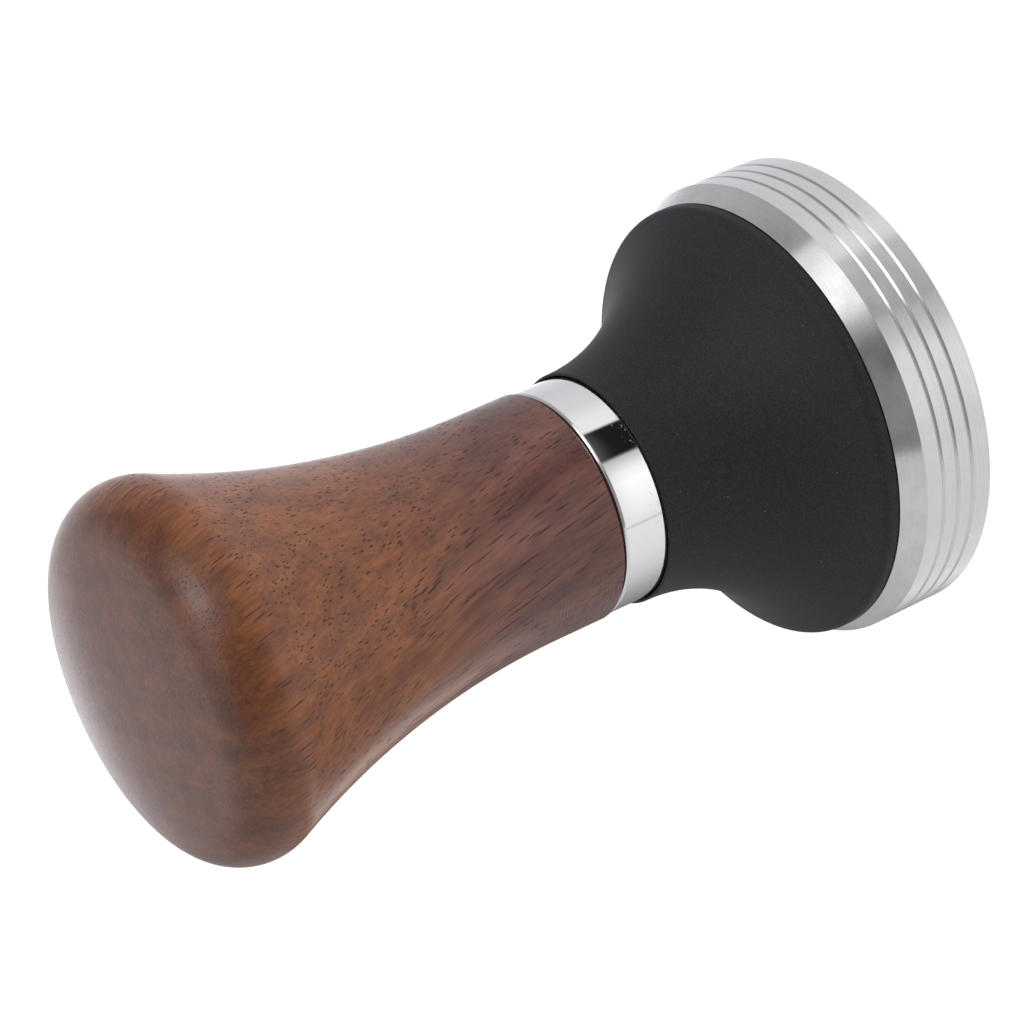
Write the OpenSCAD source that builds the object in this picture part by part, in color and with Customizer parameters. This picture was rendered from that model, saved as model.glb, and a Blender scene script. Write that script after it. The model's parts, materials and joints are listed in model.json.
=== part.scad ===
// Espresso tamper with a sprung, free-turning handle.
// The steel base, the black housing and the guide post make the lower half.
// The chromed sleeve carries the walnut handle and slides in the housing on a coil spring.
// Origin: centre of the flat tamping face. +Z runs up the axis. All sizes in millimetres.

/* [Tamping base] */
// Diameter of the base, made to fill the coffee basket
base_d = 58; // [48:0.1:70]
// Height of the base's straight side
base_side_h = 9.95; // [8.5:0.05:14]
// Height of the chamfer above the straight side
base_chamfer_h = 2.95; // [2:0.05:4]
// How far the chamfer runs inwards
base_chamfer_w = 1.45; // [0.8:0.05:2.2]
// Small bevel round the tamping face
face_bevel = 0.25; // [0.1:0.05:0.5]
// Number of turned grooves round the side
groove_count = 3; // [1:1:3]
// Height of the lowest groove
groove_z = 2.85; // [2:0.05:3.5]
// Distance between grooves
groove_pitch = 2.25; // [1.5:0.05:2.5]
// Width of a groove
groove_w = 0.46; // [0.3:0.02:0.8]
// Depth of a groove
groove_depth = 0.2; // [0.1:0.05:0.4]
// Diameter of the spigot that centres the housing
spigot_d = 18; // [14:0.5:22]
// Height of that spigot
spigot_h = 1.6; // [1:0.1:2]

/* [Housing] */
// Height of the black housing
housing_h = 24; // [20:0.1:32]
// Wall of the housing at its lip
lip_wall = 0.35; // [0.3:0.05:1.2]
// Height at which the flare would meet the rim if the edge were sharp
rim_h = 1.75; // [1.2:0.05:3]
// Rounding of the rim's edge
rim_round = 1.5; // [0.6:0.1:2]
// Thickness of the housing's floor
floor_t = 3; // [2.6:0.1:5]
// Thickness of the gasket under the housing
gasket_t = 0.15; // [0.1:0.05:0.5]
// Inside diameter of that gasket
gasket_bore = 44; // [30:1:50]

/* [Plunger sleeve] */
// Outside diameter of the chromed sleeve
sleeve_d = 28.3; // [23.5:0.05:36]
// How far the handle travels down
travel = 5.5; // [3:0.1:7]
// How much of the sleeve still shows at the end of the travel
sleeve_spare = 0.35; // [0.2:0.05:2]
// Wall of the sleeve's skirt
sleeve_wall = 1.5; // [1.2:0.1:1.8]
// Thickness of the web across the sleeve
web_t = 3.2; // [2.5:0.1:5]
// Bevel at the sleeve's top edge
sleeve_bevel = 0.35; // [0.2:0.05:0.5]
// Outside diameter of the threaded nipple that carries the handle
nipple_d = 19; // [18:0.1:20]
// Length of that nipple
nipple_h = 11; // [10:0.5:16]
// Wall of the nipple
nipple_wall = 2; // [1.5:0.1:2.2]

/* [Wooden handle] */
// Height of the wooden handle
handle_h = 60.7; // [50:0.1:80]
// How far the handle's neck stands proud of the sleeve
handle_proud = 0.23; // [0.1:0.01:1]
// Length of the straight stretch above the sleeve
handle_neck_h = 6.8; // [3:0.1:12]
// Largest diameter of the grip
grip_d = 46.5; // [40:0.5:56]
// Rounding between the grip and the crown
grip_round = 7.3; // [5:0.1:10]
// Radius of the domed crown
crown_r = 60; // [50:1:120]
// Bevel at the handle's lower edge
handle_bevel = 0.28; // [0.1:0.02:0.6]
// Thickness of the ring between handle and sleeve
handle_ring_t = 0.3; // [0.2:0.05:0.6]
// Share of the wood foot that the ring covers
ring_cover = 0.85; // [0.6:0.05:0.95]
// Wall of the brass insert in the handle
insert_wall = 2; // [1:0.1:2.4]
// Length of the brass insert
insert_h = 11; // [8:0.5:12]

/* [Spring] */
// Wire diameter
wire_d = 2.2; // [1.6:0.1:2.6]
// Height left free between the turns at the end of the travel
coil_spare = 1.5; // [0.5:0.1:3]
// Wall of the cup that the spring stands in
seat_wall = 0.9; // [0.6:0.1:1.2]
// Thickness of that cup's floor
seat_t = 0.8; // [0.6:0.1:1.2]

/* [Guide post and stops] */
// Diameter of the guide post
post_d = 8; // [6:0.1:9.6]
// Width across the flats of the post's hexagon
post_hex = 11; // [10:0.1:13]
// Height of the hexagon
post_hex_h = 3; // [2:0.1:4]
// Material left under the post's tapped hole in the base
base_web = 5; // [4:0.5:7]
// Thickness of the lock washer
lock_washer_t = 1; // [0.8:0.1:1.4]
// Thickness of the steel thrust washer on the spring
thrust_washer_t = 1; // [0.8:0.1:1.5]
// Thickness of the plastic slip washer above it
slip_washer_t = 0.8; // [0.5:0.1:1]
// Thickness of the rubber ring that the sleeve lands on
bump_ring_t = 0.45; // [0.3:0.05:0.6]
// Thickness of the rubber ring under the stop washer
damper_t = 0.9; // [0.6:0.1:1.5]
// Thickness of the stop washer
stop_washer_t = 1.2; // [0.8:0.1:1.6]
// Thread diameter of the stop screw
stop_screw_d = 5; // [4:0.5:5]
// Threaded length of the stop screw below its washer
stop_screw_h = 8; // [6:0.5:12]

/* [Fits] */
// Gap on each side between the sleeve and the housing's bore
mouth_gap = 0.15; // [0.1:0.01:0.3]
// Gap on each side between parts that slide on each other
running_gap = 0.04; // [0.02:0.01:0.08]
// Gap on each side between parts that only drop into place
loose_gap = 0.2; // [0.1:0.05:0.3]
// Gap between the sleeve's skirt and what stands inside it
skirt_gap = 0.5; // [0.3:0.1:1]
// Gap left at the end of a movement
end_gap = 0.05; // [0.02:0.01:0.1]

/* [Hidden] */
$fn = 96;
eps = 0.01;

// Colours
steel = "#b5b2ac";
black = "#2b2b2c";
chrome = "#d9dadb";
walnut = "#7b5442";
brass = "#b5954f";
plastic = "#e9e7df";
rubber = "#1c1c1c";

// Lower half, from the tamping face up
base_r = base_d / 2;
base_top = base_side_h + base_chamfer_h;
rim_r = base_r - base_chamfer_w;
post_hole_z = base_web;
housing_z = base_top + gasket_t;
housing_top = housing_z + housing_h;
floor_top = housing_z + floor_t;
sleeve_r = sleeve_d / 2;
bore_r = sleeve_r + mouth_gap;
neck_r = bore_r + lip_wall;
// The flare is one arc, upright at the neck's top, that reaches the rim at rim_h
flare_w = rim_r - neck_r;
flare_h = housing_h - rim_h;
flare_r = (flare_w * flare_w + flare_h * flare_h) / (2 * flare_w);

// Guide ring: a split band in a groove, as high as a sound wall round it allows
guide_ring_t = 0.8;
guide_ring_h = 5;
guide_ring_split = 4;
guide_ring_ri = sleeve_r + running_gap;
guide_ring_ro = guide_ring_ri + guide_ring_t;
groove_wall = 0.85;
groove_flare = guide_ring_ro + groove_wall - neck_r;
guide_ring_top = housing_top - sqrt(pow(flare_r, 2) - pow(flare_r - groove_flare, 2));
guide_ring_z = guide_ring_top - guide_ring_h;

// Guide post
post_r = post_d / 2;
lock_washer_z = floor_top;
hex_z = lock_washer_z + lock_washer_t;
hex_corner_r = post_hex / 2 / cos(30);

// Sleeve, as it stands at rest
sleeve_bottom = floor_top + bump_ring_t + end_gap + travel;
sleeve_top = housing_top + travel + sleeve_spare;
skirt_ri = sleeve_r - sleeve_wall;
cavity_r = nipple_d / 2 - nipple_wall;
nipple_top = sleeve_top + nipple_h;
web_top = sleeve_top - 1.9;
web_z = web_top - web_t;

// Guide bush in the web
bush_wall = 1.5;
bush_flange_t = 0.8;
bush_flange_r = cavity_r - loose_gap;
bush_ri = post_r + running_gap;
bush_ro = bush_ri + bush_wall;
bush_top = web_top + bush_flange_t;

// Stops at the post's top
damper_z = bush_top + end_gap;
post_top = damper_z + damper_t;
stop_washer_r = cavity_r - 0.8;
stop_washer_top = post_top + stop_washer_t;
stop_head_r = stop_screw_d * 0.92;
stop_head_h = stop_screw_d * 0.5;
stop_hex = stop_screw_d * 0.6;

// Spring and what it bears on: the coils are as wide as the skirt allows, and there
// are as many turns as fit between its ends at the bottom of the travel
wire_r = wire_d / 2;
washer_ro = skirt_ri - skirt_gap;
washer_ri = bush_ro + 0.1;
coil_gap = 0.15;
cup_ri = washer_ro - seat_wall;
coil_r = cup_ri - coil_gap - wire_r;
seat_top = floor_top + seat_t;
slip_washer_z = web_z - end_gap - slip_washer_t;
thrust_washer_z = slip_washer_z - thrust_washer_t;
spring_h = thrust_washer_z - seat_top;
end_turns = 2;
working_turns = floor((spring_h - travel - coil_spare) / wire_d) - end_turns;
spring_turns = working_turns + end_turns;
closed_pitch = wire_d + 0.02;
working_pitch = (spring_h - wire_d - end_turns * closed_pitch) / working_turns;

// Rubber ring on the floor, under the sleeve's lower edge
bump_ro = bore_r - loose_gap;
bump_ri = skirt_ri + 0.1;

// Handle
handle_z = sleeve_top + handle_ring_t;
handle_top = handle_z + handle_h;
handle_neck_r = sleeve_r + handle_proud;
grip_r = grip_d / 2;
insert_ri = nipple_d / 2;
insert_ro = insert_ri + insert_wall;
ring_r = insert_ro + (sleeve_r - insert_ro) * ring_cover;
insert_z = handle_z + 0.6;
insert_top = insert_z + insert_h;
pocket_top = max(insert_top, nipple_top, stop_washer_top + stop_head_h + travel) + 2;
// Crown, edge rounding and waist are arcs that run into each other without a corner
crown_z = handle_top - crown_r;
round_x = grip_r - grip_round;
round_z = crown_z + sqrt(pow(crown_r - grip_round, 2) - pow(round_x, 2));
waist_z = handle_z + handle_neck_h;
waist_dx = handle_neck_r - round_x;
waist_dz = round_z - waist_z;
waist_r = (pow(waist_dx, 2) + pow(waist_dz, 2) - pow(grip_round, 2)) / (2 * (grip_round - waist_dx));

// Points along an arc about [x, z], from angle a0 to a1 in degrees, in n steps
function arc(x, z, r, a0, a1, n) =
    [for (i = [0 : n]) let (a = a0 + (a1 - a0) * i / n) [x + r * cos(a), z + r * sin(a)]];

// A ring with a rectangular section
module ring(ri, ro, z, h) {
    rotate_extrude()
        translate([ri, z])
            square([ro - ri, h]);
}

// Turned stainless puck: grooves, chamfer, centring spigot and a blind tapped hole
module tamping_base() {
    color(steel)
        difference() {
            rotate_extrude()
                polygon([
                    [0, 0],
                    [base_r - face_bevel, 0],
                    [base_r, face_bevel],
                    [base_r, base_side_h],
                    [rim_r, base_top],
                    [spigot_d / 2, base_top],
                    [spigot_d / 2, base_top + spigot_h],
                    [0, base_top + spigot_h]
                ]);
            for (i = [0 : groove_count - 1])
                groove(groove_z + i * groove_pitch);
            translate([0, 0, post_hole_z])
                cylinder(r = post_r, h = base_top + spigot_h - post_hole_z + eps);
        }
}

// One V groove with a narrow flat at its bottom
module groove(z) {
    rotate_extrude()
        polygon([
            [base_r + eps, z - groove_w / 2],
            [base_r + eps, z + groove_w / 2],
            [base_r - groove_depth, z + groove_w * 0.065],
            [base_r - groove_depth, z - groove_w * 0.065]
        ]);
}

// Thin gasket that closes the joint between base and housing
module housing_gasket() {
    color(rubber)
        ring(gasket_bore / 2, rim_r - 0.3, base_top, gasket_t);
}

// Outline of the housing: rim, rounded edge, flare and lip
function housing_outline() =
    let (
        fx = rim_r - rim_round,
        cx = neck_r + flare_r,
        dz = sqrt(pow(flare_r + rim_round, 2) - pow(cx - fx, 2)),
        fz = housing_top - dz,
        turn = atan2(dz, cx - fx),
        lip = (neck_r - bore_r) * 0.45,
        lip_dz = lip * 2
    )
    concat(
        [[0, housing_z], [rim_r, housing_z]],
        arc(fx, fz, rim_round, 0, turn, 8),
        arc(cx, housing_top, flare_r, 180 + turn, 180 + asin(lip_dz / flare_r), 40),
        arc(neck_r - lip, housing_top - lip, lip, 0, 90, 6),
        [[0, housing_top]]
    );

// Black shell: one flared wall round a bored seat for the sleeve
module housing() {
    color(black)
        difference() {
            rotate_extrude(convexity = 4)
                polygon(housing_outline());
            translate([0, 0, floor_top])
                cylinder(r = bore_r, h = housing_h);
            translate([0, 0, guide_ring_z])
                cylinder(r = guide_ring_ro, h = guide_ring_h);
            translate([0, 0, housing_z - eps])
                cylinder(r = spigot_d / 2 + running_gap, h = spigot_h + eps);
            translate([0, 0, housing_z])
                cylinder(r = post_r + loose_gap, h = floor_t + eps);
        }
}

// Split plastic band that the sleeve runs in
module guide_ring() {
    color(plastic)
        difference() {
            ring(guide_ring_ri, guide_ring_ro, guide_ring_z, guide_ring_h);
            translate([0, -guide_ring_split / 2, guide_ring_z - eps])
                cube([guide_ring_ro + 1, guide_ring_split, guide_ring_h + 2 * eps]);
        }
}

// Split steel washer under the post's hexagon
module lock_washer() {
    color(steel)
        difference() {
            ring(post_r + loose_gap, post_hex / 2 + 0.6, lock_washer_z, lock_washer_t);
            translate([0, -0.5, lock_washer_z - eps])
                cube([post_hex, 1, lock_washer_t + 2 * eps]);
        }
}

// Steel post: threaded foot, hexagon that clamps the housing, guide shaft and tapped top
module guide_post() {
    color(steel)
        difference() {
            union() {
                translate([0, 0, post_hole_z + 1])
                    cylinder(r = post_r, h = post_top - post_hole_z - 1);
                translate([0, 0, hex_z])
                    rotate(30)
                        cylinder(r = hex_corner_r, h = post_hex_h, $fn = 6);
            }
            translate([0, 0, post_top - stop_screw_h - 1])
                cylinder(r = stop_screw_d / 2, h = stop_screw_h + 1 + eps);
        }
}

// Pressed steel cup that centres the spring on the floor
module spring_seat() {
    cup_top = seat_top + wire_r * 0.8;
    hole_r = hex_corner_r + 0.15;
    color(steel)
        rotate_extrude()
            polygon([
                [hole_r, floor_top],
                [washer_ro, floor_top],
                [washer_ro, cup_top],
                [cup_ri, cup_top],
                [cup_ri, seat_top],
                [hole_r, seat_top]
            ]);
}

// Height of the spring's wire after t turns: closed, working, closed
function coil_z(t) =
    seat_top + wire_r
    + closed_pitch * min(t, 1)
    + working_pitch * max(0, min(t - 1, working_turns))
    + closed_pitch * max(0, t - 1 - working_turns);

// Coil spring: a round wire swept along the coil, with flat ends to the wire
module main_spring() {
    sides = 10;
    steps = 24;
    count = spring_turns * steps;
    points = [
        for (i = [0 : count])
            let (t = i / steps)
            for (j = [0 : sides - 1])
                let (a = 360 * j / sides, r = coil_r + wire_r * cos(a))
                [r * cos(360 * t), r * sin(360 * t), coil_z(t) + wire_r * sin(a)]
    ];
    walls = [
        for (i = [0 : count - 1])
            for (j = [0 : sides - 1])
                let (k = (j + 1) % sides)
                [i * sides + j, i * sides + k, (i + 1) * sides + k, (i + 1) * sides + j]
    ];
    first = [for (j = [sides - 1 : -1 : 0]) j];
    last = [for (j = [0 : sides - 1]) count * sides + j];
    color(steel)
        polyhedron(points, concat([first], walls, [last]), convexity = 12);
}

// Rubber ring that ends the stroke softly
module bump_ring() {
    color(rubber)
        ring(bump_ri, bump_ro, floor_top, bump_ring_t);
}

// Rubber ring under the stop washer, which the handle returns against
module damper_ring() {
    color(rubber)
        ring(post_r, stop_washer_r - 0.3, damper_z, damper_t);
}

// Washer that keeps the handle on its post
module stop_washer() {
    color(steel)
        ring(stop_screw_d / 2 + 0.1, stop_washer_r, post_top, stop_washer_t);
}

// Button-head screw in the post's top
module stop_screw() {
    dome_r = (pow(stop_head_r, 2) + pow(stop_head_h, 2)) / (2 * stop_head_h);
    color(steel)
        difference() {
            union() {
                translate([0, 0, post_top - stop_screw_h])
                    cylinder(r = stop_screw_d / 2, h = stop_screw_h + stop_washer_t + eps);
                rotate_extrude()
                    polygon(concat(
                        [[0, stop_washer_top]],
                        arc(0, stop_washer_top + stop_head_h - dome_r, dome_r,
                            asin((dome_r - stop_head_h) / dome_r), 90, 12)
                    ));
            }
            translate([0, 0, stop_washer_top + stop_head_h - stop_hex * 0.55])
                cylinder(r = stop_hex / 2 / cos(30), h = stop_hex, $fn = 6);
        }
}

// Steel washer on the spring's upper end, which slides but doesn't turn
module thrust_washer() {
    color(steel)
        ring(washer_ri, washer_ro, thrust_washer_z, thrust_washer_t);
}

// Slippery washer that lets the handle turn on the spring
module slip_washer() {
    color(plastic)
        ring(washer_ri, washer_ro, slip_washer_z, slip_washer_t);
}

// Chromed sleeve: skirt, web with the bush's seat, collar and hollow nipple
module plunger_sleeve() {
    color(chrome)
        difference() {
            rotate_extrude(convexity = 4)
                polygon([
                    [0, sleeve_bottom],
                    [sleeve_r - sleeve_bevel, sleeve_bottom],
                    [sleeve_r, sleeve_bottom + sleeve_bevel],
                    [sleeve_r, sleeve_top - sleeve_bevel],
                    [sleeve_r - sleeve_bevel, sleeve_top],
                    [nipple_d / 2, sleeve_top],
                    [nipple_d / 2, nipple_top],
                    [0, nipple_top]
                ]);
            translate([0, 0, sleeve_bottom - eps])
                cylinder(r = skirt_ri, h = web_z - sleeve_bottom + eps);
            translate([0, 0, web_z - eps])
                cylinder(r = bush_ro, h = web_t + 2 * eps);
            translate([0, 0, web_top])
                cylinder(r = cavity_r, h = nipple_top - web_top + eps);
        }
}

// Flanged plastic bush, pressed into the web, that runs on the guide post
module post_bush() {
    color(plastic)
        rotate_extrude()
            polygon([
                [bush_ri, web_z],
                [bush_ro, web_z],
                [bush_ro, web_top],
                [bush_flange_r, web_top],
                [bush_flange_r, bush_top],
                [bush_ri, bush_top]
            ]);
}

// Brass insert fixed in the handle, which screws onto the nipple
module thread_insert() {
    color(brass)
        ring(insert_ri, insert_ro, insert_z, insert_h);
}

// Thin dark ring that makes the shadow line between sleeve and handle
module handle_ring() {
    color(rubber)
        ring(nipple_d / 2 + 0.1, ring_r, sleeve_top, handle_ring_t);
}

// Outline of the handle: bevel, straight neck, hollow waist, rounded grip and crown
function handle_outline() =
    let (
        waist_turn = atan2(waist_dz, waist_r + waist_dx),
        crown_turn = atan2(round_z - crown_z, round_x)
    )
    concat(
        [
            [0, handle_z],
            [handle_neck_r - handle_bevel, handle_z],
            [handle_neck_r, handle_z + handle_bevel]
        ],
        arc(handle_neck_r + waist_r, waist_z, waist_r, 180, 180 - waist_turn, 24),
        arc(round_x, round_z, grip_round, -waist_turn, crown_turn, 20),
        arc(0, crown_z, crown_r, crown_turn, 90, 12)
    );

// Turned walnut handle with a bore for the insert and a pocket for the stop screw
module wooden_handle() {
    color(walnut)
        difference() {
            rotate_extrude(convexity = 4)
                polygon(handle_outline());
            translate([0, 0, handle_z - eps])
                cylinder(r = insert_ro, h = insert_top - handle_z + eps);
            translate([0, 0, handle_z])
                cylinder(r = insert_ri, h = pocket_top - handle_z);
        }
}

tamping_base();
housing_gasket();
housing();
guide_ring();
lock_washer();
guide_post();
spring_seat();
main_spring();
bump_ring();
damper_ring();
stop_washer();
stop_screw();
thrust_washer();
slip_washer();
plunger_sleeve();
post_bush();
thread_insert();
handle_ring();
wooden_handle();
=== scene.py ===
# %% [markdown]
# # Espresso tamper
# The tamper is almost wholly turned work: a stainless puck, a black coated housing, a chromed
# sleeve and a walnut handle, all round one axis. Inside are a coil spring and a guide post.
# The CAD model gives the sizes and the motion. Here each part that shows is made again with a
# finer surface, and every part gets the finish that the real one has.

# %% Load the frame
import json
import math
import bpy
import numpy as np
from mathutils import Matrix, Vector


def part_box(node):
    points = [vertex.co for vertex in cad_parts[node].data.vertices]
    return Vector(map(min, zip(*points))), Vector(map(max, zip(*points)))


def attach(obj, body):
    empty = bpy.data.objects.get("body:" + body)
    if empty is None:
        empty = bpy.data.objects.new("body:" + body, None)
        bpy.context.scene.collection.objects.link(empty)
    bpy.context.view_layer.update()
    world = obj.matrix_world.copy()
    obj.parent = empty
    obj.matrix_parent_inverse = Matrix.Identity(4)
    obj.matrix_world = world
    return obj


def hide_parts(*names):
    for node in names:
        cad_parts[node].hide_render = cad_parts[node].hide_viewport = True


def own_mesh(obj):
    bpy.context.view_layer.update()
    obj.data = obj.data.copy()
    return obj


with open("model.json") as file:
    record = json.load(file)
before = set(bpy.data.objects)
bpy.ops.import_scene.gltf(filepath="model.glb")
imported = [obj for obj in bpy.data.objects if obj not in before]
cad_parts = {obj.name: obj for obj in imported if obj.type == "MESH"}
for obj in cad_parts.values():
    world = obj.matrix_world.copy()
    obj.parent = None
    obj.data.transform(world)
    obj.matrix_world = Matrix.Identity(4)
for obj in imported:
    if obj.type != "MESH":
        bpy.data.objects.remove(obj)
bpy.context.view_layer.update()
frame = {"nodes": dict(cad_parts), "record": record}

MM = 0.001

# %% [markdown]
# ## Sizes
# A turner works from a few diameters and shoulder heights. They are read from the boxes of
# the CAD nodes, in millimetres, so that a new surface lies exactly on the part that it replaces.
# The small features that a box can't tell, such as a groove or a bevel, are named values.

# %% Diameters and shoulders
def low(node):
    """Lowest height of a CAD node in millimetres."""
    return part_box(node)[0].z / MM


def high(node):
    """Greatest height of a CAD node in millimetres."""
    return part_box(node)[1].z / MM


def outer(node):
    """Outer radius of a CAD node in millimetres: half its box along X."""
    return (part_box(node)[1].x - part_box(node)[0].x) / 2 / MM


base_r = outer("tamping_base")
housing_r = outer("housing")
housing_bottom, housing_top = low("housing"), high("housing")
base_top = low("housing_gasket")
sleeve_r = outer("plunger_sleeve")
sleeve_bottom, sleeve_top = low("plunger_sleeve"), low("handle_ring")
handle_bottom, handle_top = low("wooden_handle"), high("wooden_handle")
grip_r = outer("wooden_handle")
print(f"base {2 * base_r:.1f} mm wide, tamper {handle_top:.1f} mm tall, grip {2 * grip_r:.1f} mm")

# %% [markdown]
# ## Surfaces from arrays
# A mesh is a list of points and a list of faces. Both can be worked out as whole arrays, which
# is quick and leaves no loop over points. One helper puts the arrays into a mesh, shades it
# smooth and keeps the edges that turn by more than a set angle sharp, as on turned metal.

# %% Arrays into a mesh
SHARP = math.radians(24)


def surface(name, points, quads, triangles=None, sharp=SHARP):
    """A mesh object from arrays. points is (n, 3) in millimetres; quads is (m, 4) and
    triangles (k, 3), each row the indices of a face's corners, anticlockwise from outside."""
    mesh = bpy.data.meshes.new(name)
    rows = [np.asarray(quads).reshape(-1, 4)]
    if triangles is not None:
        rows.append(np.asarray(triangles).reshape(-1, 3))
    corners = np.concatenate([r.ravel() for r in rows])
    sizes = np.concatenate([np.full(len(r), r.shape[1]) for r in rows])
    starts = np.concatenate([[0], np.cumsum(sizes)[:-1]])
    mesh.vertices.add(len(points))
    mesh.vertices.foreach_set("co", (np.asarray(points) * MM).astype(np.float32).ravel())
    mesh.loops.add(len(corners))
    mesh.loops.foreach_set("vertex_index", corners.astype(np.int32))
    mesh.polygons.add(len(sizes))
    mesh.polygons.foreach_set("loop_start", starts.astype(np.int32))
    mesh.update(calc_edges=True)
    mesh.polygons.foreach_set("use_smooth", np.ones(len(sizes), bool))
    mesh.set_sharp_from_angle(angle=sharp)
    mesh.validate()
    made = bpy.data.objects.new(name, mesh)
    bpy.context.scene.collection.objects.link(made)
    return made


# %% [markdown]
# ## Turning
# A lathe makes a shape by carrying one outline round an axis. The outline is a list of
# (radius, height) points. Where it meets the axis, the ring of points shrinks to one point,
# and the faces there are triangles, so the pole is closed. An outline that never meets the axis
# is a closed loop, as on a ring.
# Threads and knurls are ripples of the radius: the outline is the same all the way round, and a
# function of angle and height adds a small amount to it.

# %% Outline round the axis
AROUND = 300


def arc(x, z, r, a0, a1, n):
    """Points x + r cos a, z + r sin a, for n + 1 angles from a0 to a1 degrees."""
    a = np.radians(np.linspace(a0, a1, n + 1))
    return np.stack([x + r * np.cos(a), z + r * np.sin(a)], 1)


def turned(name, outline, around=AROUND, ripple=None, sharp=SHARP):
    """Outline (r, z) carried round Z: x = r cos a, y = r sin a. The outline runs with its
    solid on the left, so faces point outwards. Points that repeat the one before are dropped.
    ripple(a, z, r) is added to the radius."""
    outline = np.concatenate([np.atleast_2d(p) for p in outline]).astype(float)
    step = np.linalg.norm(np.diff(outline, axis=0), axis=1)
    outline = outline[np.concatenate([[True], step > 1e-5])]
    r, z = outline[:, 0], outline[:, 1]
    open_ends = r[0] < 1e-6 and r[-1] < 1e-6
    body = slice(1, -1) if open_ends else slice(None)
    a = np.linspace(0, 2 * np.pi, around, endpoint=False)[None, :]
    rr = np.repeat(r[body, None], around, 1)
    zz = np.repeat(z[body, None], around, 1)
    if ripple is not None:
        rr = rr + ripple(a, zz, rr)
    points = np.stack([rr * np.cos(a), rr * np.sin(a), zz], 2).reshape(-1, 3)
    rings = len(r[body])
    i = np.arange(rings - 1 if open_ends else rings)[:, None]
    j = np.arange(around)[None, :]
    nxt, turn = (i + 1) % rings, (j + 1) % around
    quads = np.stack([i * around + j, i * around + turn, nxt * around + turn, nxt * around + j], 2)
    if not open_ends:
        return surface(name, points, quads, sharp=sharp)
    j, turn = j.ravel(), turn.ravel()
    first, last = len(points), len(points) + 1
    points = np.concatenate([points, [[0, 0, z[0]], [0, 0, z[-1]]]])
    top = (rings - 1) * around
    fans = np.concatenate([
        np.stack([np.full(around, first), turn, j], 1),
        np.stack([np.full(around, last), top + j, top + turn], 1),
    ])
    return surface(name, points, quads, fans, sharp=sharp)


# %% [markdown]
# ## Tamping base
# The puck is turned from stainless bar. Its side has three fine grooves, each about half a
# millimetre wide, and a chamfer leads in to the housing. A real turned corner is never quite
# sharp: the tool leaves a break of a few hundredths, which catches the light as a thin line.
# The outline has those breaks. Above, hidden by the housing, are the centring spigot and the
# tapped hole for the post.

# %% Puck
GROOVES = [2.85 + 2.25 * k for k in range(3)]
GROOVE_W, GROOVE_D = 0.46, 0.2
GROOVE_FLOOR = 0.06
SIDE_H = 9.95
CHAMFER_IN = 1.45
FOOT_BEVEL = 0.25
BREAK = 0.05
SPIGOT_R, SPIGOT_H, SPIGOT_BEVEL = 9.0, 1.6, 0.2
POST_R, POST_HOLE_Z, HOLE_BEVEL, DRILL_TIP = 4.0, 5.0, 0.3, 1.5


def groove(z):
    """One V groove in the side at height z: narrow floor, 45 degree walls, broken corners."""
    w, d = GROOVE_W / 2, GROOVE_D
    half = np.array([[0, w + BREAK], [-BREAK / 2, w], [-d, GROOVE_FLOOR / 2]])
    both = np.concatenate([half * [1, -1], half[::-1]])
    return both + [base_r, z]


spigot_top = base_top + SPIGOT_H
puck = turned("tamping_base_puck", [
    [0, 0], [base_r - FOOT_BEVEL, 0], [base_r, FOOT_BEVEL],
    *[groove(z) for z in GROOVES],
    [base_r, SIDE_H - BREAK], [base_r - BREAK * 0.3, SIDE_H],
    [base_r - CHAMFER_IN, base_top],
    [SPIGOT_R, base_top], [SPIGOT_R, spigot_top - SPIGOT_BEVEL],
    [SPIGOT_R - SPIGOT_BEVEL, spigot_top],
    [POST_R + HOLE_BEVEL, spigot_top], [POST_R, spigot_top - HOLE_BEVEL],
    [POST_R, POST_HOLE_Z], [0, POST_HOLE_Z - DRILL_TIP],
], around=360, sharp=math.radians(6))
print("puck:", len(puck.data.polygons), "faces,", len(GROOVES), "grooves")

# %% [markdown]
# ## Housing
# The black shell is one flowing line: an upright rim, a rounded edge, a hollow flare that is an
# arc of a circle, and a thin lip at its mouth. The flare is upright at the mouth, so the circle's
# centre is level with the lip, and its radius follows from the width and height that it spans.
# Inside is the bore for the sleeve, with a groove for the plastic guide ring, and the floor that
# the spring stands on.

# %% Housing shell
MOUTH_GAP, LIP_WALL = 0.15, 0.35
RIM_H, RIM_ROUND = 1.75, 1.5
FLOOR_T = 3.0
EDGE = 0.12
POST_PASS, SPIGOT_PASS = 0.2, 0.04
bore_r = sleeve_r + MOUTH_GAP
neck_r = bore_r + LIP_WALL
ring_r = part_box("guide_ring")[1].y / MM
ring_z0, ring_z1 = low("guide_ring"), high("guide_ring")

span = housing_r - neck_r
rise = housing_top - housing_bottom - RIM_H
flare_r = (span ** 2 + rise ** 2) / (2 * span)
edge_x = housing_r - RIM_ROUND
edge_z = housing_top - math.sqrt((flare_r + RIM_ROUND) ** 2 - (neck_r + flare_r - edge_x) ** 2)
edge_turn = math.degrees(math.atan2(housing_top - edge_z, neck_r + flare_r - edge_x))
lip = LIP_WALL * 0.45
lip_turn = math.degrees(math.asin(2 * lip / flare_r))
floor_z = housing_bottom + FLOOR_T

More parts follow.
